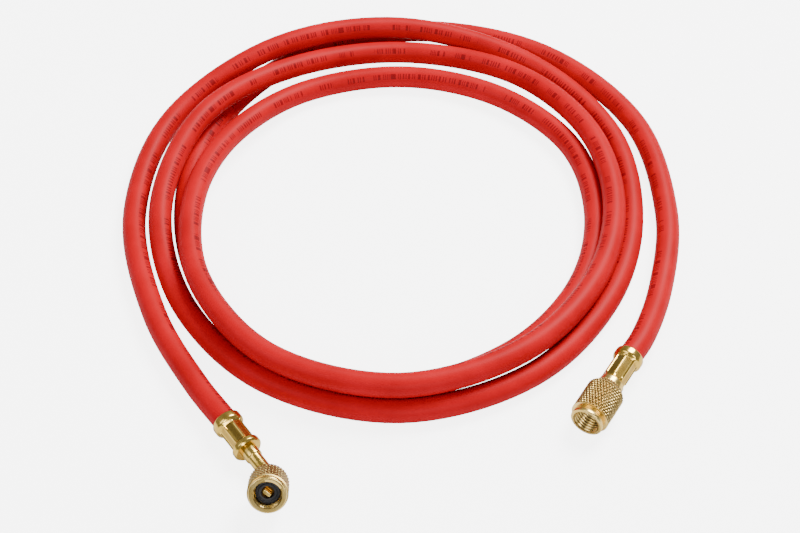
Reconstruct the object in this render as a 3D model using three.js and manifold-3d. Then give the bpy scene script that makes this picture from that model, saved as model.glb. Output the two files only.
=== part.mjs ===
// A refrigerant charging hose, lying in a loose coil: a rubber hose with a crimped brass ferrule and
// a swivelling knurled nut at each end. One end fitting is straight and the other is bent.
import * as THREE from "three";
import { mergeVertices } from "three/addons/utils/BufferGeometryUtils.js";
import Module from "manifold-3d";

const wasm = await Module();
wasm.setup();

// All lengths are in millimetres and all angles in degrees.
const gap = 0.3;

// The hose
const hoseWidth = 9.9;
const hoseRadius = hoseWidth / 2;
const boreRadius = 2.4;
const hoseSides = 10;
const boreSides = 8;
const hoseSteps = 80;

// The crimped part of the hose, inside both ferrules
const crimpRadius = 3.45;
const crimpEnd = 13.5;
const hoseInset = 2;

// The ferrules
const collarRadius = 6;
const collarLength = 4.2;
const collarSlope = 1.2;
const crimpFlats = 8;
const flatRadius = 4.5;
const bentFerrule = { length: 17, endCollarRadius: 5.8, endCollarLength: 3, endSlope: 0.9 };
const straightFerrule = { length: 15.9, endCollarRadius: 4.7, endCollarLength: 1.4, endSlope: 0.3 };

// The stems
const tailRadius = 1.9;
const tailStart = 3;
const stemRadius = 2.9;
const stemBore = 1.3;
const neckRadius = 3.35;
const neckLength = 4.2;
const seatRadius = 4.5;
const bentSeatLength = 8.4;
const straightSeatLength = 8;
const elbowAngle = 45;
const elbowLean = 50;
const elbowRadius = 5;
const elbowStart = 29.9;
const elbowTail = 0.5;

// The nuts. The thread is a 7/16-20 inside one, so its bore is the thread's smaller diameter.
const threadBore = 5.0;
const mouthRadius = 5.4;
const nutWall = 2.4;
const bentNut = { length: 16, radius: 7.7, roundBack: 4.5, rimLength: 1.6, rimDrop: 0.5 };
const straightNut = { length: 22.5, radius: 7.7, rimLength: 2, rimDrop: 1 };
const shoulder = { radius: 5.1, length: 2.4, slope: 3.2 };
const groove = { width: 1.1, depth: 1.3, slope: 0.3 };

// The gasket and the core depressor in the bent end's nut
const gasketRadius = 4.6;
const gasketHole = 2.35;
const gasketLength = 1.8;
const tangWidth = 3.2;
const tangThickness = 1.4;
const tangLap = 0.2;
const tangInset = 0.1;
const postLength = 1.6;

// The bevel on the pieces' edges, how far cutters and joined parts run past a face, and the number of
// sides of what is turned
const bevel = 0.5;
const overrun = 1;
const nutSides = 48;
const backSteps = 4;
const ferruleSides = 32;
const stemSides = 24;
const stemBoreSides = 16;
const elbowSteps = 24;

// The lie of the coil, in widths of the hose. It goes clockwise from the left, and each turn has a
// station every 30 degrees, where it strays outward from the coil's circle and lifts off the floor.
const coilRadius = 105;
const coilCentre = [-0.25, 16.4];
const firstStation = 210;
const stations = 12;
const turns = [
  {
    stray: [1.1, 0.95, 1.3, 0.85, 1.0, 0.95, 0.3, -0.5, -0.55, -0.05, 0.35, 0.25],
    lift: [0, 0, 0.25, 1.1, 0.85, 0.2, 0, 0, 0, 0, 0, 0],
  },
  {
    stray: [-0.15, -0.25, -0.4, -0.4, -0.1, -0.25, -0.95, -1.35, -1.25, -0.7, -0.15, -0.25],
    lift: [0, 0.5, 1.15, 0.7, 0.25, 0.35, 0.7, 0.75, 0.8, 0.9, 0.95, 1.0],
  },
  {
    stray: [-1.0, -1.75, -1.9, -1.6, -1.6, -1.7, -1.8, -2.1, -1.95, -1.45, -0.8, -0.85],
    lift: [1.05, 1.0, 0.6, 0.1, 0, 0, 0, 0, 0, 0, 0, 0],
  },
  {
    stray: [-1.25, -1.25, -0.55, 0.6, 1.75, 2.05, 1.65, 1.0],
    lift: [0, 0, 0, 0, 0, 0, 0, 0],
  },
];
const lastBend = { angle: -22, stray: 1.15 };

// Where the hose goes into each ferrule, the way it points, the straight run of hose before it and the
// share of its height that the hose comes down over that run. The bent end lies on its ferrule's
// collar and the straight end on its nut.
const bentEnd = {
  angle: -120.36, stray: 2.78, height: collarRadius, heading: -55.2, run: 24, drop: 0.7,
};
const straightEnd = {
  angle: -42.37, stray: 1.86, height: straightNut.radius, heading: -121, run: 12, drop: 0.2,
};

const rubber = { color: 0xd21a20, roughness: 0.55, metalness: 0 };
const brass = { color: 0xd8b566, roughness: 0.3, metalness: 1 };
const blackRubber = { color: 0x1c1c1e, roughness: 0.7, metalness: 0 };

// Solids

function toSolid(geometry) {
  geometry.deleteAttribute("normal");
  geometry.deleteAttribute("uv");
  const merged = mergeVertices(geometry, 1e-4);
  return new wasm.Manifold(
    new wasm.Mesh({
      numProp: 3,
      vertProperties: new Float32Array(merged.attributes.position.array),
      triVerts: new Uint32Array(merged.index.array),
    }),
  );
}

function toGeometry(solid) {
  const mesh = solid.getMesh();
  const geometry = new THREE.BufferGeometry();
  geometry.setAttribute("position", new THREE.BufferAttribute(mesh.vertProperties, 3));
  geometry.setIndex(new THREE.BufferAttribute(mesh.triVerts, 1));
  return geometry;
}

// A turned solid on the z axis. The profile goes round its section anticlockwise, as [radius, z].
function turned(profile, sides = ferruleSides, phase = 0) {
  const points = profile.map(([radius, z]) => new THREE.Vector2(radius, z));
  points.push(points[0].clone());
  const geometry = new THREE.LatheGeometry(points, sides, THREE.MathUtils.degToRad(phase));
  return toSolid(geometry.rotateX(Math.PI / 2));
}

function plug(radius, from, to, sides = ferruleSides, phase = 0) {
  return turned([[0, from], [radius, from], [radius, to], [0, to]], sides, phase);
}

function polygon(radius, sides) {
  const shape = new THREE.Shape();
  for (let side = 0; side < sides; side += 1) {
    const angle = (side / sides) * 2 * Math.PI;
    shape[side ? "lineTo" : "moveTo"](radius * Math.cos(angle), radius * Math.sin(angle));
  }
  shape.closePath();
  return shape;
}

function alongPath(shape, path, steps) {
  return new THREE.ExtrudeGeometry(shape, { steps, extrudePath: path, bevelEnabled: false });
}

// Frames: each end fitting has its z axis along the fitting, from the hose towards the mouth.

function pointOnCoil(angle, stray, height) {
  const radius = coilRadius + stray * hoseWidth;
  const turn = THREE.MathUtils.degToRad(angle);
  return new THREE.Vector3(radius * Math.cos(turn), radius * Math.sin(turn), height);
}

function endFrame(end, lean) {
  const heading = THREE.MathUtils.degToRad(end.heading);
  const along = new THREE.Vector3(Math.cos(heading), Math.sin(heading), 0);
  const aside = new THREE.Vector3(Math.sin(heading), -Math.cos(heading), 0);
  const leanAngle = THREE.MathUtils.degToRad(lean);
  const across = aside.multiplyScalar(Math.cos(leanAngle));
  across.z = Math.sin(leanAngle);
  const third = new THREE.Vector3().crossVectors(along, across);
  return new THREE.Matrix4()
    .makeBasis(across, third, along)
    .setPosition(pointOnCoil(end.angle, end.stray, end.height));
}

const bentFrame = endFrame(bentEnd, elbowLean);
const straightFrame = endFrame(straightEnd, 90);

// The bent stem's middle line: straight, round the elbow, and straight again.
class ElbowRun extends THREE.Curve {
  constructor(from, tail) {
    super();
    this.from = from;
    this.angle = THREE.MathUtils.degToRad(elbowAngle);
    this.parts = [elbowStart - from, elbowRadius * this.angle, tail];
  }

  getPoint(t, target = new THREE.Vector3()) {
    const [first, arc, last] = this.parts;
    const distance = t * (first + arc + last);
    const turn = THREE.MathUtils.clamp((distance - first) / elbowRadius, 0, this.angle);
    const before = Math.min(distance, first);
    const after = Math.max(distance - first - arc, 0);
    return target.set(
      elbowRadius * (1 - Math.cos(turn)) + after * Math.sin(turn),
      0,
      this.from + before + elbowRadius * Math.sin(turn) + after * Math.cos(turn),
    );
  }
}

const elbowEnd = new ElbowRun(0, elbowTail).getPoint(1);
const bentNutFrame = bentFrame
  .clone()
  .multiply(new THREE.Matrix4().setPosition(elbowEnd))
  .multiply(new THREE.Matrix4().makeRotationY(THREE.MathUtils.degToRad(elbowAngle)));
const straightNutFrame = straightFrame
  .clone()
  .multiply(new THREE.Matrix4().setPosition(0, 0, straightFerrule.length + gap));

// The hose

// The rings stand at even steps from station to station instead of at even lengths, so the facets of
// neighbouring turns lie side by side. No part of the hose lies lower than the floor.
class HoseRun extends THREE.CatmullRomCurve3 {
  getUtoTmapping(u) {
    return u;
  }

  getPoint(t, target) {
    const point = super.getPoint(t, target);
    point.z = Math.max(point.z, hoseRadius);
    return point;
  }
}

function pointOnEnd(frame, z, drop = 0) {
  const point = new THREE.Vector3(0, 0, z).applyMatrix4(frame);
  point.z -= drop * (point.z - hoseRadius);
  return point;
}

function hosePoints() {
  const points = [
    pointOnEnd(bentFrame, hoseInset),
    pointOnEnd(bentFrame, -bentEnd.run, bentEnd.drop),
  ];
  turns.forEach((turn, index) => {
    turn.stray.forEach((stray, station) => {
      const angle = firstStation - (360 / stations) * (station + index * stations);
      points.push(pointOnCoil(angle, stray, hoseRadius + turn.lift[station] * hoseWidth));
    });
  });
  points.push(pointOnCoil(lastBend.angle, lastBend.stray, hoseRadius));
  points.push(pointOnEnd(straightFrame, -straightEnd.run, straightEnd.drop));
  points.push(pointOnEnd(straightFrame, hoseInset));
  return points;
}

function makeHose() {
  const section = polygon(hoseRadius, hoseSides);
  section.holes.push(polygon(boreRadius, boreSides));
  const run = new HoseRun(hosePoints());
  let hose = toSolid(alongPath(section, run, hoseSteps));
  const crimped = [
    [boreRadius, hoseInset - overrun],
    [crimpRadius, hoseInset - overrun],
    [crimpRadius, crimpEnd],
    [boreRadius, crimpEnd],
  ];
  for (const frame of [bentFrame, straightFrame]) {
    hose = hose.add(turned(crimped, stemSides).transform(frame.elements));
  }
  return hose;
}

// The ferrules: a smooth collar at the hose, then eight crimped flats, then a collar on the stem.
function makeFerrule({ length, endCollarRadius, endCollarLength, endSlope }) {
  const collar = turned([
    [0, 0],
    [collarRadius - bevel, 0],
    [collarRadius, bevel],
    [collarRadius, collarLength - collarSlope],
    [flatRadius, collarLength],
    [0, collarLength],
  ]);
  const endStart = length - endCollarLength;
  const endCollar = turned([
    [0, endStart],
    [Math.min(flatRadius, endCollarRadius), endStart],
    [endCollarRadius, endStart + endSlope],
    [endCollarRadius, length - bevel],
    [endCollarRadius - bevel, length],
    [0, length],
  ]);
  const cornerRadius = flatRadius / Math.cos(Math.PI / crimpFlats);
  const halfFlat = 180 / crimpFlats;
  const flatsStart = collarLength - overrun;
  const flats = plug(cornerRadius, flatsStart, endStart + overrun, crimpFlats, halfFlat);
  const mouth = plug(hoseRadius + gap, -overrun, hoseInset + gap);
  const crimpRoom = plug(crimpRadius + gap, -overrun, crimpEnd + gap);
  const stemHole = plug(stemRadius + gap, -overrun, length + overrun);
  return collar.add(endCollar).add(flats).subtract(mouth).subtract(crimpRoom).subtract(stemHole);
}

// The stems

function bentTube(radius, from, tail, sides) {
  return toSolid(alongPath(polygon(radius, sides), new ElbowRun(from, tail), elbowSteps));
}

function makeBentStem() {
  const bodyStart = crimpEnd + gap;
  const neckStart = bentFerrule.length + gap;
  const seatStart = nutWall + gap;
  const seatEnd = seatStart + bentSeatLength;
  const toNut = new THREE.Matrix4().copy(bentFrame).invert().multiply(bentNutFrame);
  const seat = plug(seatRadius, seatStart, seatEnd).transform(toNut.elements);
  return bentTube(stemRadius, bodyStart, elbowTail + seatStart + overrun, stemSides)
    .add(plug(tailRadius, tailStart, bodyStart + overrun, stemSides))
    .add(plug(neckRadius, neckStart, neckStart + neckLength))
    .add(seat)
    .subtract(plug(stemBore, tailStart - overrun, elbowStart, stemBoreSides))
    .subtract(bentTube(stemBore, elbowStart - overrun, elbowTail + seatEnd + overrun, stemBoreSides));
}

function makeStraightStem() {
  const bodyStart = crimpEnd + gap;
  const seatStart = straightFerrule.length + gap + nutWall + shoulder.length + gap;
  const seatEnd = seatStart + straightSeatLength;
  return plug(stemRadius, bodyStart, seatStart + overrun, stemSides)
    .add(plug(tailRadius, tailStart, bodyStart + overrun, stemSides))
    .add(plug(seatRadius, seatStart, seatEnd))
    .subtract(plug(stemBore, tailStart - overrun, seatEnd + overrun, stemBoreSides));
}

// The nuts. Each mouth has a 45 degree lead into the thread.

const leadLength = mouthRadius - threadBore;

function makeBentNut() {
  const { length, radius, roundBack, rimLength, rimDrop } = bentNut;
  const round = [];
  for (let step = 0; step <= backSteps; step += 1) {
    const turn = (step / backSteps) * (Math.PI / 2);
    round.push([radius - roundBack * (1 - Math.sin(turn)), roundBack * (1 - Math.cos(turn))]);
  }
  return turned([
    [stemRadius + gap, 0],
    ...round,
    [radius, length - rimLength],
    [radius - rimDrop, length - bevel],
    [radius - rimDrop - bevel, length],
    [mouthRadius, length],
    [threadBore, length - leadLength],
    [threadBore, nutWall],
    [stemRadius + gap, nutWall],
  ], nutSides);
}

function makeStraightNut() {
  const { length, radius, rimLength, rimDrop } = straightNut;
  const grooveEnd = length - rimLength;
  const grooveStart = grooveEnd - groove.width;
  return turned([
    [stemRadius + gap, 0],
    [shoulder.radius - bevel, 0],
    [shoulder.radius, bevel],
    [shoulder.radius, shoulder.length],
    [radius, shoulder.length + shoulder.slope],
    [radius, grooveStart],
    [radius - groove.depth, grooveStart + groove.slope],
    [radius - groove.depth, grooveEnd - groove.slope],
    [radius - rimDrop, grooveEnd],
    [radius - rimDrop, length - bevel],
    [radius - rimDrop - bevel, length],
    [mouthRadius, length],
    [threadBore, length - leadLength],
    [threadBore, shoulder.length + nutWall],
    [stemRadius + gap, shoulder.length + nutWall],
  ], nutSides);
}

// The gasket and the core depressor sit on the bent stem's seat, inside the nut.

const gasketStart = nutWall + gap + bentSeatLength + gap;

function makeGasket() {
  return turned([
    [gasketHole, gasketStart],
    [gasketRadius, gasketStart],
    [gasketRadius, gasketStart + gasketLength - bevel],
    [gasketRadius - bevel, gasketStart + gasketLength],
    [gasketHole, gasketStart + gasketLength],
  ]);
}

// A half-round post in the stem's bore that ends in a flat tang.
function makeDepressor() {
  const postRadius = stemBore - gap;
  const post = new THREE.Shape();
  post.absarc(0, 0, postRadius, 0, Math.PI, false);
  post.closePath();
  const postStart = gasketStart - gap - postLength;
  const postHeight = gasketStart + gap - postStart;
  const postSolid = toSolid(
    new THREE.ExtrudeGeometry(post, { depth: postHeight, bevelEnabled: false, curveSegments: stemBoreSides })
      .translate(0, 0, postStart),
  );
  const tangStart = gasketStart + tangInset;
  const tangHeight = gasketLength - 2 * tangInset;
  const tang = toSolid(
    new THREE.BoxGeometry(tangWidth, tangThickness, tangHeight)
      .translate(0, tangThickness / 2 - tangLap, tangStart + tangHeight / 2),
  );
  return postSolid.add(tang);
}

const pieces = [
  ["hose", makeHose(), new THREE.Matrix4(), rubber],
  ["bent_end_ferrule", makeFerrule(bentFerrule), bentFrame, brass],
  ["bent_end_stem", makeBentStem(), bentFrame, brass],
  ["bent_end_nut", makeBentNut(), bentNutFrame, brass],
  ["bent_end_gasket", makeGasket(), bentNutFrame, blackRubber],
  ["bent_end_depressor", makeDepressor(), bentNutFrame, brass],
  ["straight_end_ferrule", makeFerrule(straightFerrule), straightFrame, brass],
  ["straight_end_stem", makeStraightStem(), straightFrame, brass],
  ["straight_end_nut", makeStraightNut(), straightNutFrame, brass],
];

const chargingHose = new THREE.Group();
chargingHose.position.set(coilCentre[0], coilCentre[1], 0);
for (const [name, solid, frame, look] of pieces) {
  const mesh = new THREE.Mesh(toGeometry(solid), new THREE.MeshStandardMaterial(look));
  mesh.name = name;
  mesh.applyMatrix4(frame);
  chargingHose.add(mesh);
}

export default chargingHose;
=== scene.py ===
import math

import bmesh
import bpy
from mathutils import Matrix, Vector


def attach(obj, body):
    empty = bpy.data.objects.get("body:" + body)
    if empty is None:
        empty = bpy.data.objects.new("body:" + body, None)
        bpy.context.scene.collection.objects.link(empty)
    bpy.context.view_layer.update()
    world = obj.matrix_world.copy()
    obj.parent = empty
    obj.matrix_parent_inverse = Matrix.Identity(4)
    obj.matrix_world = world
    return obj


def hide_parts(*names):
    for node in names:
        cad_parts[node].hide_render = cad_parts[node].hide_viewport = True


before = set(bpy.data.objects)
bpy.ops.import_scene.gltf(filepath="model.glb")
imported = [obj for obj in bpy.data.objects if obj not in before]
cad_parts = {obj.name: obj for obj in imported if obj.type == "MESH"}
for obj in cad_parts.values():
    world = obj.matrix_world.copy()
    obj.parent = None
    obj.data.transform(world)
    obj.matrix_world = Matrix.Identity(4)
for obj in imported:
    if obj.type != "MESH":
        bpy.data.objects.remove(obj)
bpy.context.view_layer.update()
mm = 0.001
gap = 0.3 * mm

# The camera, which looks down at the coil from the side of the two fittings

camera = {
    "target": Vector((-0.25, -15.7, 4.95)) * mm,
    "distance": 704.6 * mm,
    "elevation": 47,
    "lens": 75.78,
    "sensor": 36,
}

# The lie of the coil, in widths of the hose outward from its circle and up from the floor. It goes
# clockwise from the left, with a station every 30 degrees.

hose = {
    "width": 9.9 * mm,
    "inset": 2 * mm,
    "sides": 28,
    "stepsPerStation": 10,
}
coil = {
    "radius": 105 * mm,
    "centre": Vector((-0.25, 16.4, 0)) * mm,
    "firstStation": 210,
    "stations": 12,
}
turns = [
    {
        "stray": [1.1, 0.95, 1.3, 0.85, 1.0, 0.95, 0.3, -0.5, -0.55, -0.05, 0.35, 0.25],
        "lift": [0, 0, 0.25, 1.1, 0.85, 0.2, 0, 0, 0, 0, 0, 0],
    },
    {
        "stray": [-0.15, -0.25, -0.4, -0.4, -0.1, -0.25, -0.95, -1.35, -1.25, -0.7, -0.15, -0.25],
        "lift": [0, 0.5, 1.15, 0.7, 0.25, 0.35, 0.7, 0.75, 0.8, 0.9, 0.95, 1.0],
    },
    {
        "stray": [-1.0, -1.75, -1.9, -1.6, -1.6, -1.7, -1.8, -2.1, -1.95, -1.45, -0.8, -0.85],
        "lift": [1.05, 1.0, 0.6, 0.1, 0, 0, 0, 0, 0, 0, 0, 0],
    },
    {
        "stray": [-1.25, -1.25, -0.55, 0.6, 1.75, 2.05, 1.65, 1.0],
        "lift": [0, 0, 0, 0, 0, 0, 0, 0],
    },
]
lastBend = {"angle": -22, "stray": 1.15}
bentEnd = {
    "angle": -120.36,
    "stray": 2.78,
    "height": 6 * mm,
    "heading": -55.2,
    "lean": 50,
    "run": 24 * mm,
    "drop": 0.7,
}
straightEnd = {
    "angle": -42.37,
    "stray": 1.86,
    "height": 7.7 * mm,
    "heading": -121,
    "lean": 90,
    "run": 12 * mm,
    "drop": 0.2,
}


def pointOnCoil(angle, stray, height):
    radius = coil["radius"] + stray * hose["width"]
    turn = math.radians(angle)
    return coil["centre"] + Vector((radius * math.cos(turn), radius * math.sin(turn), height))


# The frame of an end fitting: its z axis runs along the fitting, from the hose towards the mouth.
def endFrame(end):
    heading = math.radians(end["heading"])
    lean = math.radians(end["lean"])
    along = Vector((math.cos(heading), math.sin(heading), 0))
    aside = Vector((math.sin(heading), -math.cos(heading), 0))
    across = aside * math.cos(lean) + Vector((0, 0, math.sin(lean)))
    third = along.cross(across)
    place = pointOnCoil(end["angle"], end["stray"], end["height"])
    return Matrix.Translation(place) @ Matrix((across, third, along)).transposed().to_4x4()


bentFrame = endFrame(bentEnd)
straightFrame = endFrame(straightEnd)


def pointOnEnd(endMatrix, z, drop=0):
    point = endMatrix @ Vector((0, 0, z))
    point.z -= drop * (point.z - hose["width"] / 2)
    return point


def hosePoints():
    onFloor = hose["width"] / 2
    points = [
        pointOnEnd(bentFrame, hose["inset"]),
        pointOnEnd(bentFrame, -bentEnd["run"], bentEnd["drop"]),
    ]
    for index, turn in enumerate(turns):
        for station, (stray, lift) in enumerate(zip(turn["stray"], turn["lift"])):
            count = station + index * coil["stations"]
            angle = coil["firstStation"] - 360 / coil["stations"] * count
            points.append(pointOnCoil(angle, stray, onFloor + lift * hose["width"]))
    points.append(pointOnCoil(lastBend["angle"], lastBend["stray"], onFloor))
    points.append(pointOnEnd(straightFrame, -straightEnd["run"], straightEnd["drop"]))
    points.append(pointOnEnd(straightFrame, hose["inset"]))
    return points


# A smooth curve through the points, a centripetal Catmull-Rom one
def throughPoints(points, steps):
    knots = [points[0] * 2 - points[1], *points, points[-1] * 2 - points[-2]]
    path = []
    for p0, p1, p2, p3 in zip(knots, knots[1:], knots[2:], knots[3:]):
        d0, d1, d2 = [(b - a).length ** 0.5 for a, b in ((p0, p1), (p1, p2), (p2, p3))]
        leave = ((p1 - p0) / d0 - (p2 - p0) / (d0 + d1) + (p2 - p1) / d1) * d1
        arrive = ((p2 - p1) / d1 - (p3 - p1) / (d1 + d2) + (p3 - p2) / d2) * d1
        for step in range(steps):
            t = step / steps
            bend = (p2 - p1) * 3 - leave * 2 - arrive
            twist = (p1 - p2) * 2 + leave + arrive
            path.append(p1 + leave * t + bend * t**2 + twist * t**3)
    path.append(points[-1].copy())
    return path


def hosePath():
    path = throughPoints(hosePoints(), hose["stepsPerStation"])
    for point in path:
        point.z = max(point.z, hose["width"] / 2)
    return path


# Meshes

# Makes the object of a finished mesh: smooth, apart from edges sharper than the angle.
def finished(mesh, name, material, body="hose_body", sharpest=40):
    bmesh.ops.recalc_face_normals(mesh, faces=mesh.faces)
    data = bpy.data.meshes.new(name)
    mesh.to_mesh(data)
    mesh.free()
    data.shade_smooth()
    data.set_sharp_from_angle(angle=math.radians(sharpest))
    data.materials.append(material)
    piece = bpy.data.objects.new(name, data)
    bpy.context.scene.collection.objects.link(piece)
    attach(piece, body)
    return piece


# Writes the UV map "wrap" from each point's place around the piece, in turns, and along it. A face
# across the seam goes on past one turn instead of back to none.
def wrapped(mesh, placeOf):
    layer = mesh.loops.layers.uv.new("wrap")
    for face in mesh.faces:
        places = [placeOf(loop.vert) for loop in face.loops]
        seam = max(around for around, along in places) - min(around for around, along in places) > 0.5
        for loop, (around, along) in zip(face.loops, places):
            loop[layer].uv = (around + 1 if seam and around < 0.5 else around, along)


# A frame at each point of a path, its x axis as level with up as the path lets it be
def framesAlong(path, up=Vector((0, 0, 1))):
    frames = []
    for index, point in enumerate(path):
        before = path[max(index - 1, 0)]
        after = path[min(index + 1, len(path) - 1)]
        along = (after - before).normalized()
        side = along.cross(up).normalized()
        top = side.cross(along)
        basis = Matrix((top, side, along))
        frames.append(Matrix.Translation(point) @ basis.transposed().to_4x4())
    return frames


# A round bar or hose along the frames, with a radius at each. Its ends are closed.
def swept(frames, radii, sides):
    mesh = bmesh.new()
    aroundOf = mesh.verts.layers.float.new("around")
    alongOf = mesh.verts.layers.float.new("along")
    ring = bmesh.ops.create_circle(
        mesh, cap_ends=True, segments=sides, radius=radii[0], matrix=frames[0])["verts"]
    toFirst = frames[0].inverted()
    for vert in ring:
        local = toFirst @ vert.co
        vert[aroundOf] = math.atan2(local.y, local.x) / math.tau % 1
    edges = list(mesh.edges)
    walked = 0
    for index in range(1, len(frames)):
        grown = bmesh.ops.extrude_edge_only(mesh, edges=edges)["geom"]
        ring = [part for part in grown if isinstance(part, bmesh.types.BMVert)]
        inRing = set(ring)
        edges = [part for part in grown if isinstance(part, bmesh.types.BMEdge)
                 and part.verts[0] in inRing and part.verts[1] in inRing]
        size = radii[index] / radii[index - 1]
        move = frames[index] @ Matrix.Diagonal((size, size, 1, 1)) @ frames[index - 1].inverted()
        bmesh.ops.transform(mesh, matrix=move, verts=ring)
        walked += (frames[index].translation - frames[index - 1].translation).length
        for vert in ring:
            vert[alongOf] = walked
    bmesh.ops.contextual_create(mesh, geom=edges)
    wrapped(mesh, lambda vert: (vert[aroundOf], vert[alongOf]))
    return mesh


# A closed profile of radius and z, turned round the z axis in that many steps. The shape gives each
# point's radius from its angle, radius and z, and how proud of its surroundings it is, which the brass
# uses for painted shade: the less proud, the darker.
def turned(profile, steps, endMatrix, shape=None):
    mesh = bmesh.new()
    verts = [mesh.verts.new((radius, 0, z)) for radius, z in profile]
    edges = [mesh.edges.new(pair) for pair in zip(verts, verts[1:] + verts[:1])]
    bmesh.ops.spin(mesh, geom=verts + edges, cent=(0, 0, 0), axis=(0, 0, 1), dvec=(0, 0, 0),
                   angle=math.tau, steps=steps, use_merge=True, use_normal_flip=False,
                   use_duplicate=False)
    bmesh.ops.remove_doubles(mesh, verts=mesh.verts, dist=1e-7)
    litLayer = mesh.verts.layers.float.new("litShare")
    for vert in mesh.verts:
        vert[litLayer] = 1
        if shape:
            angle = math.atan2(vert.co.y, vert.co.x)
            old = math.hypot(vert.co.x, vert.co.y)
            radius, vert[litLayer] = shape(angle, old, vert.co.z)
            vert.co.x *= radius / old
            vert.co.y *= radius / old
    wrapped(mesh, lambda vert: (math.atan2(vert.co.y, vert.co.x) / math.tau % 1, vert.co.z))
    bmesh.ops.transform(mesh, matrix=endMatrix, verts=mesh.verts)
    return mesh


# Rows of a profile from one z to another at one radius, both ends included
def rows(radius, start, end, spacing):
    count = max(round(abs(end - start) / spacing), 1)
    return [(radius, start + (end - start) * row / count) for row in range(count + 1)]


def arc(centreRadius, centreZ, size, first, last, count):
    points = []
    for step in range(count + 1):
        turn = math.radians(first + (last - first) * step / count)
        points.append((centreRadius + size * math.cos(turn), centreZ + size * math.sin(turn)))
    return points


# Materials

def addNode(tree, kind, **values):
    node = tree.nodes.new(kind)
    for name, value in values.items():
        if name in node.inputs:
            node.inputs[name].default_value = value
        else:
            setattr(node, name, value)
    return node


def newGroup(name, inputs, outputs):
    group = bpy.data.node_groups.new(name, "ShaderNodeTree")
    for socket, kind, value in inputs:
        group.interface.new_socket(socket, in_out="INPUT", socket_type=kind).default_value = value
    for socket, kind in outputs:
        group.interface.new_socket(socket, in_out="OUTPUT", socket_type=kind)
    return group, group.nodes.new("NodeGroupInput"), group.nodes.new("NodeGroupOutput")


def newMaterial(name):
    material = bpy.data.materials.new(name)
    material.use_nodes = True
    tree = material.node_tree
    return material, tree, tree.nodes["Principled BSDF"]


def addGroup(tree, group, **values):
    node = tree.nodes.new("ShaderNodeGroup")
    node.node_tree = group
    for name, value in values.items():
        node.inputs[name].default_value = value
    return node


# Cloudy changes of colour and finish with a fine grain, for moulded rubber
def makeRubberGrain():
    group, given, result = newGroup(
        "rubberGrain",
        [("Scale", "NodeSocketFloat", 1.0), ("Depth", "NodeSocketFloat", 0.1)],
        [("Cloud", "NodeSocketFloat"), ("Height", "NodeSocketFloat")],
    )
    place = addNode(group, "ShaderNodeTexCoord")
    cloud = addNode(group, "ShaderNodeTexNoise", Detail=3.0, Roughness=0.6)
    grain = addNode(group, "ShaderNodeTexNoise", Scale=2600.0, Detail=4.0, Roughness=0.7)
    cloudScale = addNode(group, "ShaderNodeMath", operation="MULTIPLY")
    cloudScale.inputs[1].default_value = 45.0
    depth = addNode(group, "ShaderNodeMath", operation="MULTIPLY")
    links = group.links
    links.new(given.outputs["Scale"], cloudScale.inputs[0])
    links.new(cloudScale.outputs[0], cloud.inputs["Scale"])
    links.new(place.outputs["Object"], cloud.inputs["Vector"])
    links.new(place.outputs["Object"], grain.inputs["Vector"])
    links.new(grain.outputs["Fac"], depth.inputs[0])
    links.new(given.outputs["Depth"], depth.inputs[1])
    links.new(cloud.outputs["Fac"], result.inputs["Cloud"])
    links.new(depth.outputs[0], result.inputs["Height"])
    return group


# Fine rings left by turning, and a faint tarnish in clouds, for machined brass
def makeTurningMarks():
    group, given, result = newGroup(
        "turningMarks",
        [("Depth", "NodeSocketFloat", 0.1)],
        [("Tarnish", "NodeSocketFloat"), ("Streak", "NodeSocketFloat"), ("Height", "NodeSocketFloat")],
    )
    wrap = addNode(group, "ShaderNodeUVMap", uv_map="wrap")
    stretch = addNode(group, "ShaderNodeMapping", Scale=(3.0, 9000.0, 1.0))
    marks = addNode(group, "ShaderNodeTexNoise", Scale=1.0, Detail=3.0, Roughness=0.6)
    place = addNode(group, "ShaderNodeTexCoord")
    tarnish = addNode(group, "ShaderNodeTexNoise", Scale=240.0, Detail=5.0, Roughness=0.65)
    depth = addNode(group, "ShaderNodeMath", operation="MULTIPLY")
    links = group.links
    links.new(wrap.outputs["UV"], stretch.inputs["Vector"])
    links.new(stretch.outputs["Vector"], marks.inputs["Vector"])
    links.new(place.outputs["Object"], tarnish.inputs["Vector"])
    links.new(marks.outputs["Fac"], depth.inputs[0])
    links.new(given.outputs["Depth"], depth.inputs[1])
    links.new(tarnish.outputs["Fac"], result.inputs["Tarnish"])
    links.new(marks.outputs["Fac"], result.inputs["Streak"])
    links.new(depth.outputs[0], result.inputs["Height"])
    return group


rubberGrain = makeRubberGrain()
turningMarks = makeTurningMarks()


# Colours that a value runs through, as positions and colours
def addRamp(tree, stops):
    ramp = tree.nodes.new("ShaderNodeValToRGB")
    while len(ramp.color_ramp.elements) < len(stops):
        ramp.color_ramp.elements.new(0.5)
    for element, (position, color) in zip(ramp.color_ramp.elements, stops):
        element.position = position
        element.color = (*color, 1)
    return ramp


def addBump(tree, bsdf, height, distance):
    bump = addNode(tree, "ShaderNodeBump", Strength=1.0, Distance=distance)
    tree.links.new(height, bump.inputs["Height"])
    tree.links.new(bump.outputs["Normal"], bsdf.inputs["Normal"])


# A value kept by a chain of simple sums: each step is an operation and what it works with
def addSums(tree, value, *steps):
    for operation, *others in steps:
        node = addNode(tree, "ShaderNodeMath", operation=operation)
        tree.links.new(value, node.inputs[0])
        for slot, other in enumerate(others, start=1):
            if isinstance(other, (int, float)):
                node.inputs[slot].default_value = other
            else:
                tree.links.new(other, node.inputs[slot])
        value = node.outputs[0]
    return value


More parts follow.
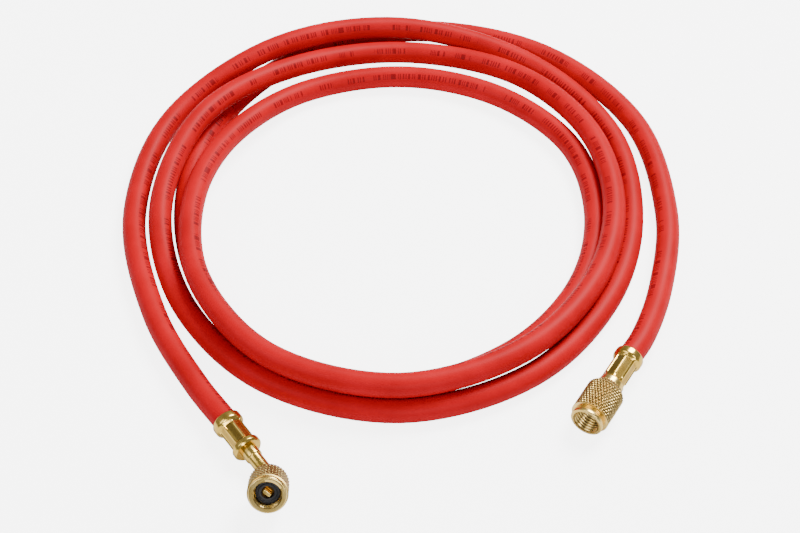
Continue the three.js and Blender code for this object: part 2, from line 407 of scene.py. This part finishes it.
# The broken line of short ink strokes along the hose: where it runs around the hose, in turns, how
# far it wanders, and the size of a stroke and of the groups that the strokes stand in
layLine = {
    "around": 0.11,
    "wander": 0.16,
    "wanderScale": 5.0,
    "strokeEvery": 1.5 * mm,
    "strokeShare": 0.42,
    "strokeShift": 3.5 * mm,
    "shiftScale": 260.0,
    "halfWidth": 0.04,
    "groupScale": 75.0,
    "groupShare": 0.42,
    "color": (0.09, 0.004, 0.006),
    "strength": 0.65,
}


def addLayLine(tree):
    wrap = addNode(tree, "ShaderNodeUVMap", uv_map="wrap")
    split = addNode(tree, "ShaderNodeSeparateXYZ")
    tree.links.new(wrap.outputs["UV"], split.inputs["Vector"])
    around, along = split.outputs["X"], split.outputs["Y"]
    wander = addNode(tree, "ShaderNodeTexNoise", noise_dimensions="1D",
                     Scale=layLine["wanderScale"], Detail=1.0)
    tree.links.new(along, wander.inputs["W"])
    centre = addSums(tree, wander.outputs["Fac"], ("SUBTRACT", 0.5),
                     ("MULTIPLY", layLine["wander"]), ("ADD", layLine["around"]))
    offset = addSums(tree, around, ("SUBTRACT", centre), ("WRAP", 0.5, -0.5), ("ABSOLUTE",))
    inLine = addSums(tree, offset, ("LESS_THAN", layLine["halfWidth"]))
    shift = addNode(tree, "ShaderNodeTexNoise", noise_dimensions="1D",
                    Scale=layLine["shiftScale"], Detail=0.0)
    tree.links.new(along, shift.inputs["W"])
    stroke = addSums(tree, shift.outputs["Fac"], ("MULTIPLY", layLine["strokeShift"]), ("ADD", along),
                     ("DIVIDE", layLine["strokeEvery"]), ("FRACT",),
                     ("LESS_THAN", layLine["strokeShare"]))
    groups = addNode(tree, "ShaderNodeTexNoise", noise_dimensions="1D",
                     Scale=layLine["groupScale"], Detail=0.0)
    tree.links.new(along, groups.inputs["W"])
    grouped = addSums(tree, groups.outputs["Fac"], ("GREATER_THAN", layLine["groupShare"]))
    return addSums(tree, inLine, ("MULTIPLY", stroke), ("MULTIPLY", grouped),
                   ("MULTIPLY", layLine["strength"]))


def makeHoseRubber():
    material, tree, bsdf = newMaterial("hose red rubber")
    grain = addGroup(tree, rubberGrain, Scale=1.0, Depth=0.5)
    ramp = addRamp(tree, [(0.3, (0.45, 0.0003, 0.005)), (0.55, (0.53, 0.0005, 0.007)),
                          (0.75, (0.59, 0.001, 0.01))])
    tree.links.new(grain.outputs["Cloud"], ramp.inputs["Fac"])
    inked = addNode(tree, "ShaderNodeMix", data_type="RGBA")
    tree.links.new(addLayLine(tree), inked.inputs["Factor"])
    tree.links.new(ramp.outputs["Color"], inked.inputs[6])
    inked.inputs[7].default_value = (*layLine["color"], 1)
    tree.links.new(inked.outputs[2], bsdf.inputs["Base Color"])
    rough = addSums(tree, grain.outputs["Cloud"], ("MULTIPLY", 0.16), ("ADD", 0.38))
    tree.links.new(rough, bsdf.inputs["Roughness"])
    bsdf.inputs["Specular IOR Level"].default_value = 0.09
    addBump(tree, bsdf, grain.outputs["Height"], 0.06 * mm)
    return material


def makeGasketRubber():
    material, tree, bsdf = newMaterial("gasket black rubber")
    grain = addGroup(tree, rubberGrain, Scale=3.0, Depth=0.5)
    ramp = addRamp(tree, [(0.3, (0.006, 0.006, 0.008)), (0.7, (0.022, 0.020, 0.024))])
    tree.links.new(grain.outputs["Cloud"], ramp.inputs["Fac"])
    tree.links.new(ramp.outputs["Color"], bsdf.inputs["Base Color"])
    rough = addSums(tree, grain.outputs["Cloud"], ("MULTIPLY", 0.3), ("ADD", 0.3))
    tree.links.new(rough, bsdf.inputs["Roughness"])
    addBump(tree, bsdf, grain.outputs["Height"], 0.04 * mm)
    return material


# Brass whose hollows are darker than its proud parts, from values kept on the piece: the darkening is
# painted shade.
def makeBrass(name, light, dark, shadeColor, roughness, depth):
    material, tree, bsdf = newMaterial(name)
    marks = addGroup(tree, turningMarks, Depth=depth)
    ramp = addRamp(tree, [(0.35, dark), (0.65, light)])
    tree.links.new(marks.outputs["Tarnish"], ramp.inputs["Fac"])
    litShare = addNode(tree, "ShaderNodeAttribute", attribute_name="litShare")
    # The mix towards the dark colour paints shade into the piece's hollows and into the parts of it
    # that lie in the dark.
    shadedColor = addNode(tree, "ShaderNodeMix", data_type="RGBA")
    shadedColor.inputs[6].default_value = (*shadeColor, 1)
    tree.links.new(litShare.outputs["Fac"], shadedColor.inputs["Factor"])
    tree.links.new(ramp.outputs["Color"], shadedColor.inputs[7])
    tree.links.new(shadedColor.outputs[2], bsdf.inputs["Base Color"])
    rough = addSums(tree, marks.outputs["Streak"], ("MULTIPLY", 0.12), ("ADD", roughness - 0.06))
    tree.links.new(rough, bsdf.inputs["Roughness"])
    bsdf.inputs["Metallic"].default_value = 1
    addBump(tree, bsdf, marks.outputs["Height"], 0.05 * mm)
    return material


hoseRubber = makeHoseRubber()
gasketRubber = makeGasketRubber()
ferruleBrass = makeBrass("ferrule brass", (0.88, 0.61, 0.15), (0.74, 0.47, 0.08),
                         (0.20, 0.09, 0.015), 0.19, 0.12)
nutBrass = makeBrass("nut brass", (0.94, 0.70, 0.26), (0.82, 0.55, 0.14),
                     (0.13, 0.055, 0.012), 0.26, 0.12)
print("materials made")


# The hose

def makeHose():
    path = hosePath()
    mesh = swept(framesAlong(path), [hose["width"] / 2] * len(path), hose["sides"])
    piece = finished(mesh, "red_hose", hoseRubber)
    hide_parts("hose")
    length = sum((b - a).length for a, b in zip(path, path[1:]))
    return piece, path, length


# The ferrules: a smooth round collar, eight crimped flats with a thin ridge between them, and a
# collar at the stem on the bent end

crimp = {
    "flats": 8,
    "insideShare": 0.97,
    "middleShare": 1.02,
    "middleShade": 0.5,
    "rampHeight": 2 * mm,
    "rampUnderCollar": 0.6,
    "rampUnderEnd": 0.4,
    "flatRadius": 4.5 * mm,
    "columns": 20,
    "ridgeRadius": 5.05 * mm,
    "ridgeAngle": 2.3,
    "rampLength": 1.1 * mm,
}
ferruleSizes = {
    "collarRadius": 6 * mm,
    "collarLength": 4.2 * mm,
    "bodyRadius": 5.2 * mm,
    "wall": 0.1 * mm,
    "stemHole": 3.2 * mm,
    "spacing": 0.35 * mm,
    "hoseRound": 0.7 * mm,
    "crimpRound": 1.1 * mm,
    "crimpRoundEnd": 1.5 * mm,
    "endRound": 0.5 * mm,
    "endRise": 0.8 * mm,
    "endFall": 0.9 * mm,
    "endFace": 0.6 * mm,
    "narrowRise": 0.2 * mm,
    "narrowFall": 0.4 * mm,
}
bentFerrule = {"length": 17 * mm, "endRadius": 5.8 * mm, "endLength": 3 * mm}
straightFerrule = {"length": 15.9 * mm, "endRadius": 4.7 * mm, "endLength": 1.4 * mm}


def crimpShape(start, end):
    flatAngle = math.tau / crimp["flats"]

    def shape(angle, radius, z):
        if radius < crimp["flatRadius"] * crimp["insideShare"] or z < start or z > end:
            return radius, 1
        fromMiddle = abs((angle / flatAngle) % 1 - 0.5) * flatAngle
        flat = crimp["flatRadius"] / math.cos(fromMiddle)
        if flatAngle / 2 - fromMiddle < math.radians(crimp["ridgeAngle"]):
            flat = crimp["ridgeRadius"]
        climb = max(1 - min(z - start, end - z) / crimp["rampLength"], 0)
        crimped = flat + climb**2 * crimp["rampHeight"]
        # Painted shade: the middles of the flats take half the shade colour, fading out towards the
        # ramps at their ends; the ridges and the flats' edges keep their full colour.
        if flat >= crimp["flatRadius"] * crimp["middleShare"]:
            return min(radius, crimped), 1
        return min(radius, crimped), 1 - crimp["middleShade"] * (1 - min(climb * 2, 1))

    return shape


def makeFerrule(name, endMatrix, sizes):
    length, endRadius, endLength = sizes["length"], sizes["endRadius"], sizes["endLength"]
    collar, body = ferruleSizes["collarRadius"], ferruleSizes["bodyRadius"]
    collarEnd = ferruleSizes["collarLength"]
    spacing = ferruleSizes["spacing"]
    endStart = length - endLength
    hoseRound, crimpRound = ferruleSizes["hoseRound"], ferruleSizes["crimpRound"]
    crimpRoundStart = collarEnd - ferruleSizes["crimpRoundEnd"]
    endRound, endRise = ferruleSizes["endRound"], ferruleSizes["endRise"]
    hoseHole = hose["width"] / 2 + ferruleSizes["wall"]
    stemHole = ferruleSizes["stemHole"]
    profile = [
        (hoseHole, 0),
        *arc(collar - hoseRound, hoseRound, hoseRound, -90, 0, 5),
        *arc(collar - crimpRound, crimpRoundStart, crimpRound, 0, 60, 5),
        *rows(body, collarEnd, endStart - gap, spacing),
    ]
    if endRadius > body:
        profile += [
            *arc(endRadius - endRound, endStart + endRise, endRound, -60, 0, 4),
            *arc(endRadius - endRound, length - ferruleSizes["endFall"], endRound, 0, 45, 4),
        ]
    else:
        narrowStart = endStart + ferruleSizes["narrowRise"]
        profile += rows(endRadius, narrowStart, length - ferruleSizes["narrowFall"], spacing)
    profile += [
        (endRadius - ferruleSizes["endFace"], length),
        (stemHole, length),
        (stemHole, hose["inset"] + gap),
        (hoseHole, hose["inset"] + gap),
    ]
    crimpStart = collarEnd - crimp["rampLength"] * crimp["rampUnderCollar"]
    crimpEnd = endStart + crimp["rampLength"] * crimp["rampUnderEnd"]
    if endRadius < body:
        crimpEnd = length + crimp["rampLength"]
    steps = crimp["flats"] * crimp["columns"]
    mesh = turned(profile, steps, endMatrix, crimpShape(crimpStart, crimpEnd))
    piece = finished(mesh, name, ferruleBrass, sharpest=30)
    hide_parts(name.replace("crimped_", ""))
    return piece


# The bent stem: a neck at the ferrule, then a plain tube that turns 45 degrees into the nut. The
# neck's edge is worn round: each step gives how far past the neck's end it lies and how much wider
# than the neck it is, and then how much wider than the tube, in millimetres.

elbow = {
    "radius": 5 * mm,
    "start": 29.9 * mm,
    "tail": 0.5 * mm,
    "angle": 45,
    "steps": 14,
    "stemRadius": 2.9 * mm,
    "neckRadius": 3.35 * mm,
    "neckLength": 4.2 * mm,
    "intoNut": 11.1 * mm,
    "intoFerrule": 1 * mm,
    "neckEdge": [(-0.7, 0), (-0.4, -0.06), (-0.15, -0.2)],
    "tubeEdge": [(0, 0.05), (0.25, 0)],
    "beforeBend": 0.5 * mm,
    "outsideLitShare": 0.9,
    "sides": 40,
}


def elbowMatrix(turn, tail=0):
    x = elbow["radius"] * (1 - math.cos(turn)) + tail * math.sin(turn)
    z = elbow["start"] + elbow["radius"] * math.sin(turn) + tail * math.cos(turn)
    return bentFrame @ Matrix.Translation((x, 0, z)) @ Matrix.Rotation(turn, 4, "Y")


bentNutFrame = elbowMatrix(math.radians(elbow["angle"]), elbow["tail"])
straightNutFrame = straightFrame @ Matrix.Translation((0, 0, straightFerrule["length"] + gap))


def makeBentStem():
    neck, plain = elbow["neckRadius"], elbow["stemRadius"]
    neckEnd = bentFerrule["length"] + gap + elbow["neckLength"]
    stations = [(bentFerrule["length"] - elbow["intoFerrule"], neck)]
    stations += [(neckEnd + past * mm, neck + wider * mm) for past, wider in elbow["neckEdge"]]
    stations += [(neckEnd + past * mm, plain + wider * mm) for past, wider in elbow["tubeEdge"]]
    stations.append((elbow["start"] - elbow["beforeBend"], plain))
    frames = [bentFrame @ Matrix.Translation((0, 0, z)) for z, radius in stations]
    radii = [radius for z, radius in stations]
    for step in range(elbow["steps"] + 1):
        frames.append(elbowMatrix(math.radians(elbow["angle"]) * step / elbow["steps"]))
        radii.append(plain)
    frames.append(elbowMatrix(math.radians(elbow["angle"]), elbow["tail"] + elbow["intoNut"]))
    radii.append(plain)
    mesh = swept(frames, radii, elbow["sides"])
    # Painted shade: inside the nut the tube takes the brass's dark shade colour all over, and outside
    # the nut it keeps most of its brass colour.
    litLayer = mesh.verts.layers.float.new("litShare")
    toNut = bentNutFrame.inverted()
    for vert in mesh.verts:
        vert[litLayer] = elbow["outsideLitShare"] if (toNut @ vert.co).z < gap else 0
    piece = finished(mesh, "bent_tube", ferruleBrass)
    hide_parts("bent_end_stem")
    return piece


# The nuts: a diamond knurl outside and a right-hand thread inside

knurl = {
    "around": 36,
    "along": 2.3 * mm,
    "depth": 0.5 * mm,
    "share": 0.75,
    "fade": 0.3 * mm,
    "columns": 9,
}
thread = {
    "pitch": 1.27 * mm,
    "depth": 0.62 * mm,
    "share": 0.9,
    "rows": 8,
    "radius": 5.0 * mm,
    "lead": 0.4 * mm,
}
stemHole = 3.2 * mm
bentNut = {
    "length": 16 * mm,
    "radius": 7.7 * mm,
    "roundBack": 4.5 * mm,
    "knurlStart": 0.9 * mm,
    "knurlEnd": 14.2 * mm,
    "rimDrop": 0.5 * mm,
    "rimStart": 0.1 * mm,
    "rimRound": 0.6 * mm,
    "rimFlat": 0.9 * mm,
    "threadStart": 13.3 * mm,
    "wall": 2.4 * mm,
}
straightNut = {
    "length": 22.5 * mm,
    "radius": 7.7 * mm,
    "shoulderRadius": 5.1 * mm,
    "shoulderLength": 2.4 * mm,
    "slope": 3.2 * mm,
    "knurlStart": 2.9 * mm,
    "knurlEnd": 19.4 * mm,
    "grooveWidth": 1.1 * mm,
    "grooveDepth": 1.3 * mm,
    "grooveSlope": 0.25 * mm,
    "rimDrop": 1 * mm,
    "rimSlope": 0.15 * mm,
    "rimRound": 0.5 * mm,
    "rimFlat": 0.6 * mm,
    "shoulderFace": 0.5 * mm,
    "shoulderRound": 0.4 * mm,
    "shoulderFlat": 0.2 * mm,
    "slopeRows": 8,
    "slopeBulge": 0.8,
    "threadStart": 13.3 * mm,
    "wall": 4.8 * mm,
}


# How deep a cut is at a place in its pattern: 1 in its middle, and 0 on the land between two cuts
# that are each as wide as the share of the pattern
def cutDepth(place, share):
    fromMiddle = abs(place - round(place)) * 2
    return max(1 - fromMiddle / share, 0)


def nutShape(sizes):
    threadStart, threadEnd = sizes["threadStart"], sizes["length"] - thread["lead"]
    wall = thread["radius"] + gap / 2

    # The second value gives painted shade: the thread's roots and the knurl's grooves are darkened,
    # the deeper the darker.
    def shape(angle, radius, z):
        around = angle / math.tau
        if radius < wall and threadStart < z < threadEnd:
            root = cutDepth(z / thread["pitch"] - around, thread["share"])
            return radius + thread["depth"] * root, 1 - root
        if radius > wall and sizes["knurlStart"] < z < sizes["knurlEnd"]:
            right = cutDepth(around * knurl["around"] + z / knurl["along"], knurl["share"])
            left = cutDepth(around * knurl["around"] - z / knurl["along"], knurl["share"])
            inside = min(z - sizes["knurlStart"], sizes["knurlEnd"] - z, knurl["fade"])
            deep = max(right, left) * inside / knurl["fade"]
            return radius - knurl["depth"] * deep, 1 - deep
        return radius, 1

    return shape


def makeNut(name, endMatrix, sizes, outside):
    length = sizes["length"]
    mouth = thread["radius"] + thread["lead"]
    rowGap = thread["pitch"] / thread["rows"]
    profile = [
        *outside,
        (mouth, length),
        *rows(thread["radius"], length - thread["lead"], sizes["threadStart"], rowGap),
        (thread["radius"], sizes["wall"]),
        (stemHole, sizes["wall"]),
        (stemHole, 0),
    ]
    steps = knurl["around"] * knurl["columns"]
    piece = finished(turned(profile, steps, endMatrix, nutShape(sizes)), name, nutBrass,
                     body=name.replace("knurled_", "") + "_body", sharpest=50)
    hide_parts(name.replace("knurled_", ""))
    return piece


def makeBentNut():
    length, radius, back = bentNut["length"], bentNut["radius"], bentNut["roundBack"]
    rim, rimRound = radius - bentNut["rimDrop"], bentNut["rimRound"]
    knurlGap = knurl["along"] / knurl["columns"]
    outside = [
        *arc(radius - back, back, back, -90, 0, 14),
        *rows(radius, back + knurlGap, bentNut["knurlEnd"], knurlGap),
        (rim, bentNut["knurlEnd"] + bentNut["rimStart"]),
        (rim, length - bentNut["rimFlat"]),
        *arc(rim - rimRound, length - rimRound, rimRound, 0, 90, 6),
    ]
    return makeNut("knurled_bent_end_nut", bentNutFrame, bentNut, outside)


def makeStraightNut():
    length, radius = straightNut["length"], straightNut["radius"]
    shoulder, shoulderEnd = straightNut["shoulderRadius"], straightNut["shoulderLength"]
    knurlGap = knurl["along"] / knurl["columns"]
    knurlEnd = straightNut["knurlEnd"]
    edgeRound = straightNut["shoulderRound"]
    bottom, grooveSlope = radius - straightNut["grooveDepth"], straightNut["grooveSlope"]
    grooveEnd = knurlEnd + straightNut["grooveWidth"]
    rim, rimSlope = radius - straightNut["rimDrop"], straightNut["rimSlope"]
    rimRound = straightNut["rimRound"]
    outside = [
        (shoulder - straightNut["shoulderFace"], 0),
        *arc(shoulder - edgeRound, edgeRound, edgeRound, -60, 0, 4),
        (shoulder, shoulderEnd - straightNut["shoulderFlat"]),
    ]
    for row in range(straightNut["slopeRows"]):
        share = row / straightNut["slopeRows"]
        outside.append((shoulder + (radius - shoulder) * share ** straightNut["slopeBulge"],
                        shoulderEnd + straightNut["slope"] * share))
    outside += [
        *rows(radius, shoulderEnd + straightNut["slope"], knurlEnd, knurlGap),
        (bottom, knurlEnd + grooveSlope),
        (bottom, grooveEnd - grooveSlope),
        (rim - rimSlope, grooveEnd),
        (rim, grooveEnd + rimSlope),
        (rim, length - straightNut["rimFlat"]),
        *arc(rim - rimRound, length - rimRound, rimRound, 0, 90, 5),
    ]
    return makeNut("knurled_straight_end_nut", straightNutFrame, straightNut, outside)


# The gasket in the bent end's nut, and the depressor's tang in its hole

gasket = {
    "start": 11.4 * mm,
    "length": 1.8 * mm,
    "radius": 4.6 * mm,
    "hole": 2.35 * mm,
    "edgeRound": 0.4 * mm,
    "ringInset": 1.0 * mm,
    "ringRound": 0.3 * mm,
    "holeRound": 0.35 * mm,
    "steps": 96,
}
tang = {
    "width": 3.2 * mm,
    "thickness": 1.4 * mm,
    "lap": 0.2 * mm,
    "inset": 0.1 * mm,
    "bevel": 0.12 * mm,
    "markWidth": 40 * mm,
    "markPlace": 0.25,
}


def makeGasket():
    start, end = gasket["start"], gasket["start"] + gasket["length"]
    edgeRound, holeRound = gasket["edgeRound"], gasket["holeRound"]
    profile = [
        (gasket["hole"], start),
        (gasket["radius"], start),
        *arc(gasket["radius"] - edgeRound, end - edgeRound, edgeRound, 0, 90, 5),
        *arc(gasket["radius"] - gasket["ringInset"], end, gasket["ringRound"], 0, -180, 6),
        *arc(gasket["hole"] + holeRound, end - holeRound, holeRound, 90, 180, 5),
    ]
    piece = finished(turned(profile, gasket["steps"], bentNutFrame), "mouth_gasket", gasketRubber)
    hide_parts("bent_end_gasket")
    return piece


def makeTang():
    mesh = bmesh.new()
    height = gasket["length"] - 2 * tang["inset"]
    middle = gasket["start"] + tang["inset"] + height / 2
    aside = tang["thickness"] / 2 - tang["lap"]
    size = Matrix.Diagonal((tang["width"], tang["thickness"], height, 1))
    bmesh.ops.create_cube(mesh, size=1, matrix=Matrix.Translation((0, aside, middle)) @ size)
    bmesh.ops.bevel(mesh, geom=mesh.edges[:], offset=tang["bevel"], segments=3, profile=0.5,
                    affect="EDGES", material=-1)
    wrapped(mesh, lambda vert: (vert.co.x / tang["markWidth"] + tang["markPlace"], vert.co.z))
    litLayer = mesh.verts.layers.float.new("litShare")
    for vert in mesh.verts:
        vert[litLayer] = 1
    bmesh.ops.transform(mesh, matrix=bentNutFrame, verts=mesh.verts)
    piece = finished(mesh, "depressor_tang", nutBrass)
    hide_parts("bent_end_depressor")
    return piece


redHose, hoseLine, hoseLength = makeHose()
print("hose made,", round(hoseLength, 4), "m long")
fittings = [
    makeFerrule("crimped_bent_end_ferrule", bentFrame, bentFerrule),
    makeFerrule("crimped_straight_end_ferrule", straightFrame, straightFerrule),
    makeBentStem(),
    makeGasket(),
    makeTang(),
    makeBentNut(),
    makeStraightNut(),
    "straight_end_stem",
]
pointOnEnd(bentFrame, 0)
print("fittings made")

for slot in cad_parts["straight_end_stem"].material_slots:
    slot.material = ferruleBrass


# The floor, the light and the camera

floor = {"size": 6, "color": (0.86, 0.86, 0.86), "cloud": (0.847, 0.847, 0.847), "glow": 5}
studioGlow = 0.27
lights = [
    {"name": "key", "at": (0.6, 0.7, 1.2), "size": 0.7, "power": 44},
    {"name": "fill", "at": (-0.9, -0.5, 1.1), "size": 0.9, "power": 9},
    {"name": "front", "at": (0.3, -1.3, 0.8), "size": 0.5, "power": 8},
]


def makeFloor():
    mesh = bmesh.new()
    bmesh.ops.create_grid(mesh, x_segments=1, y_segments=1, size=floor["size"] / 2)
    data = bpy.data.meshes.new("floor")
    mesh.to_mesh(data)
    mesh.free()
    material, tree, bsdf = newMaterial("floor")
    place = addNode(tree, "ShaderNodeTexCoord")
    noise = addNode(tree, "ShaderNodeTexNoise", Scale=30.0, Detail=2.0)
    ramp = addRamp(tree, [(0.3, floor["cloud"]), (0.7, floor["color"])])
    tree.links.new(place.outputs["Object"], noise.inputs["Vector"])
    tree.links.new(noise.outputs["Fac"], ramp.inputs["Fac"])
    tree.links.new(ramp.outputs["Color"], bsdf.inputs["Base Color"])
    bsdf.inputs["Roughness"].default_value = 0.9
    seen = addNode(tree, "ShaderNodeLightPath")
    glow = addSums(tree, seen.outputs["Is Camera Ray"], ("MULTIPLY", floor["glow"]))
    bsdf.inputs["Emission Color"].default_value = (1, 1, 1, 1)
    tree.links.new(glow, bsdf.inputs["Emission Strength"])
    data.materials.append(material)
    plane = bpy.data.objects.new("floor", data)
    bpy.context.scene.collection.objects.link(plane)


def makeLights():
    for light in lights:
        data = bpy.data.lights.new(light["name"], "AREA")
        data.size = light["size"]
        data.energy = light["power"]
        lamp = bpy.data.objects.new(light["name"], data)
        lamp.location = light["at"]
        lamp.rotation_euler = (-Vector(light["at"])).to_track_quat("-Z", "Y").to_euler()
        bpy.context.scene.collection.objects.link(lamp)
    world = bpy.data.worlds.new("studio")
    world.use_nodes = True
    background = world.node_tree.nodes["Background"]
    background.inputs["Color"].default_value = (1, 1, 1, 1)
    background.inputs["Strength"].default_value = studioGlow
    bpy.context.scene.world = world


def makeCamera():
    data = bpy.data.cameras.new("camera")
    data.lens = camera["lens"]
    data.sensor_width = camera["sensor"]
    eye = bpy.data.objects.new("camera", data)
    tilt = math.radians(camera["elevation"])
    away = Vector((0, -math.cos(tilt), math.sin(tilt)))
    eye.location = camera["target"] + away * camera["distance"]
    eye.rotation_euler = (-away).to_track_quat("-Z", "Y").to_euler()
    bpy.context.scene.collection.objects.link(eye)
    bpy.context.scene.camera = eye


makeFloor()
makeLights()
makeCamera()
print("studio made")
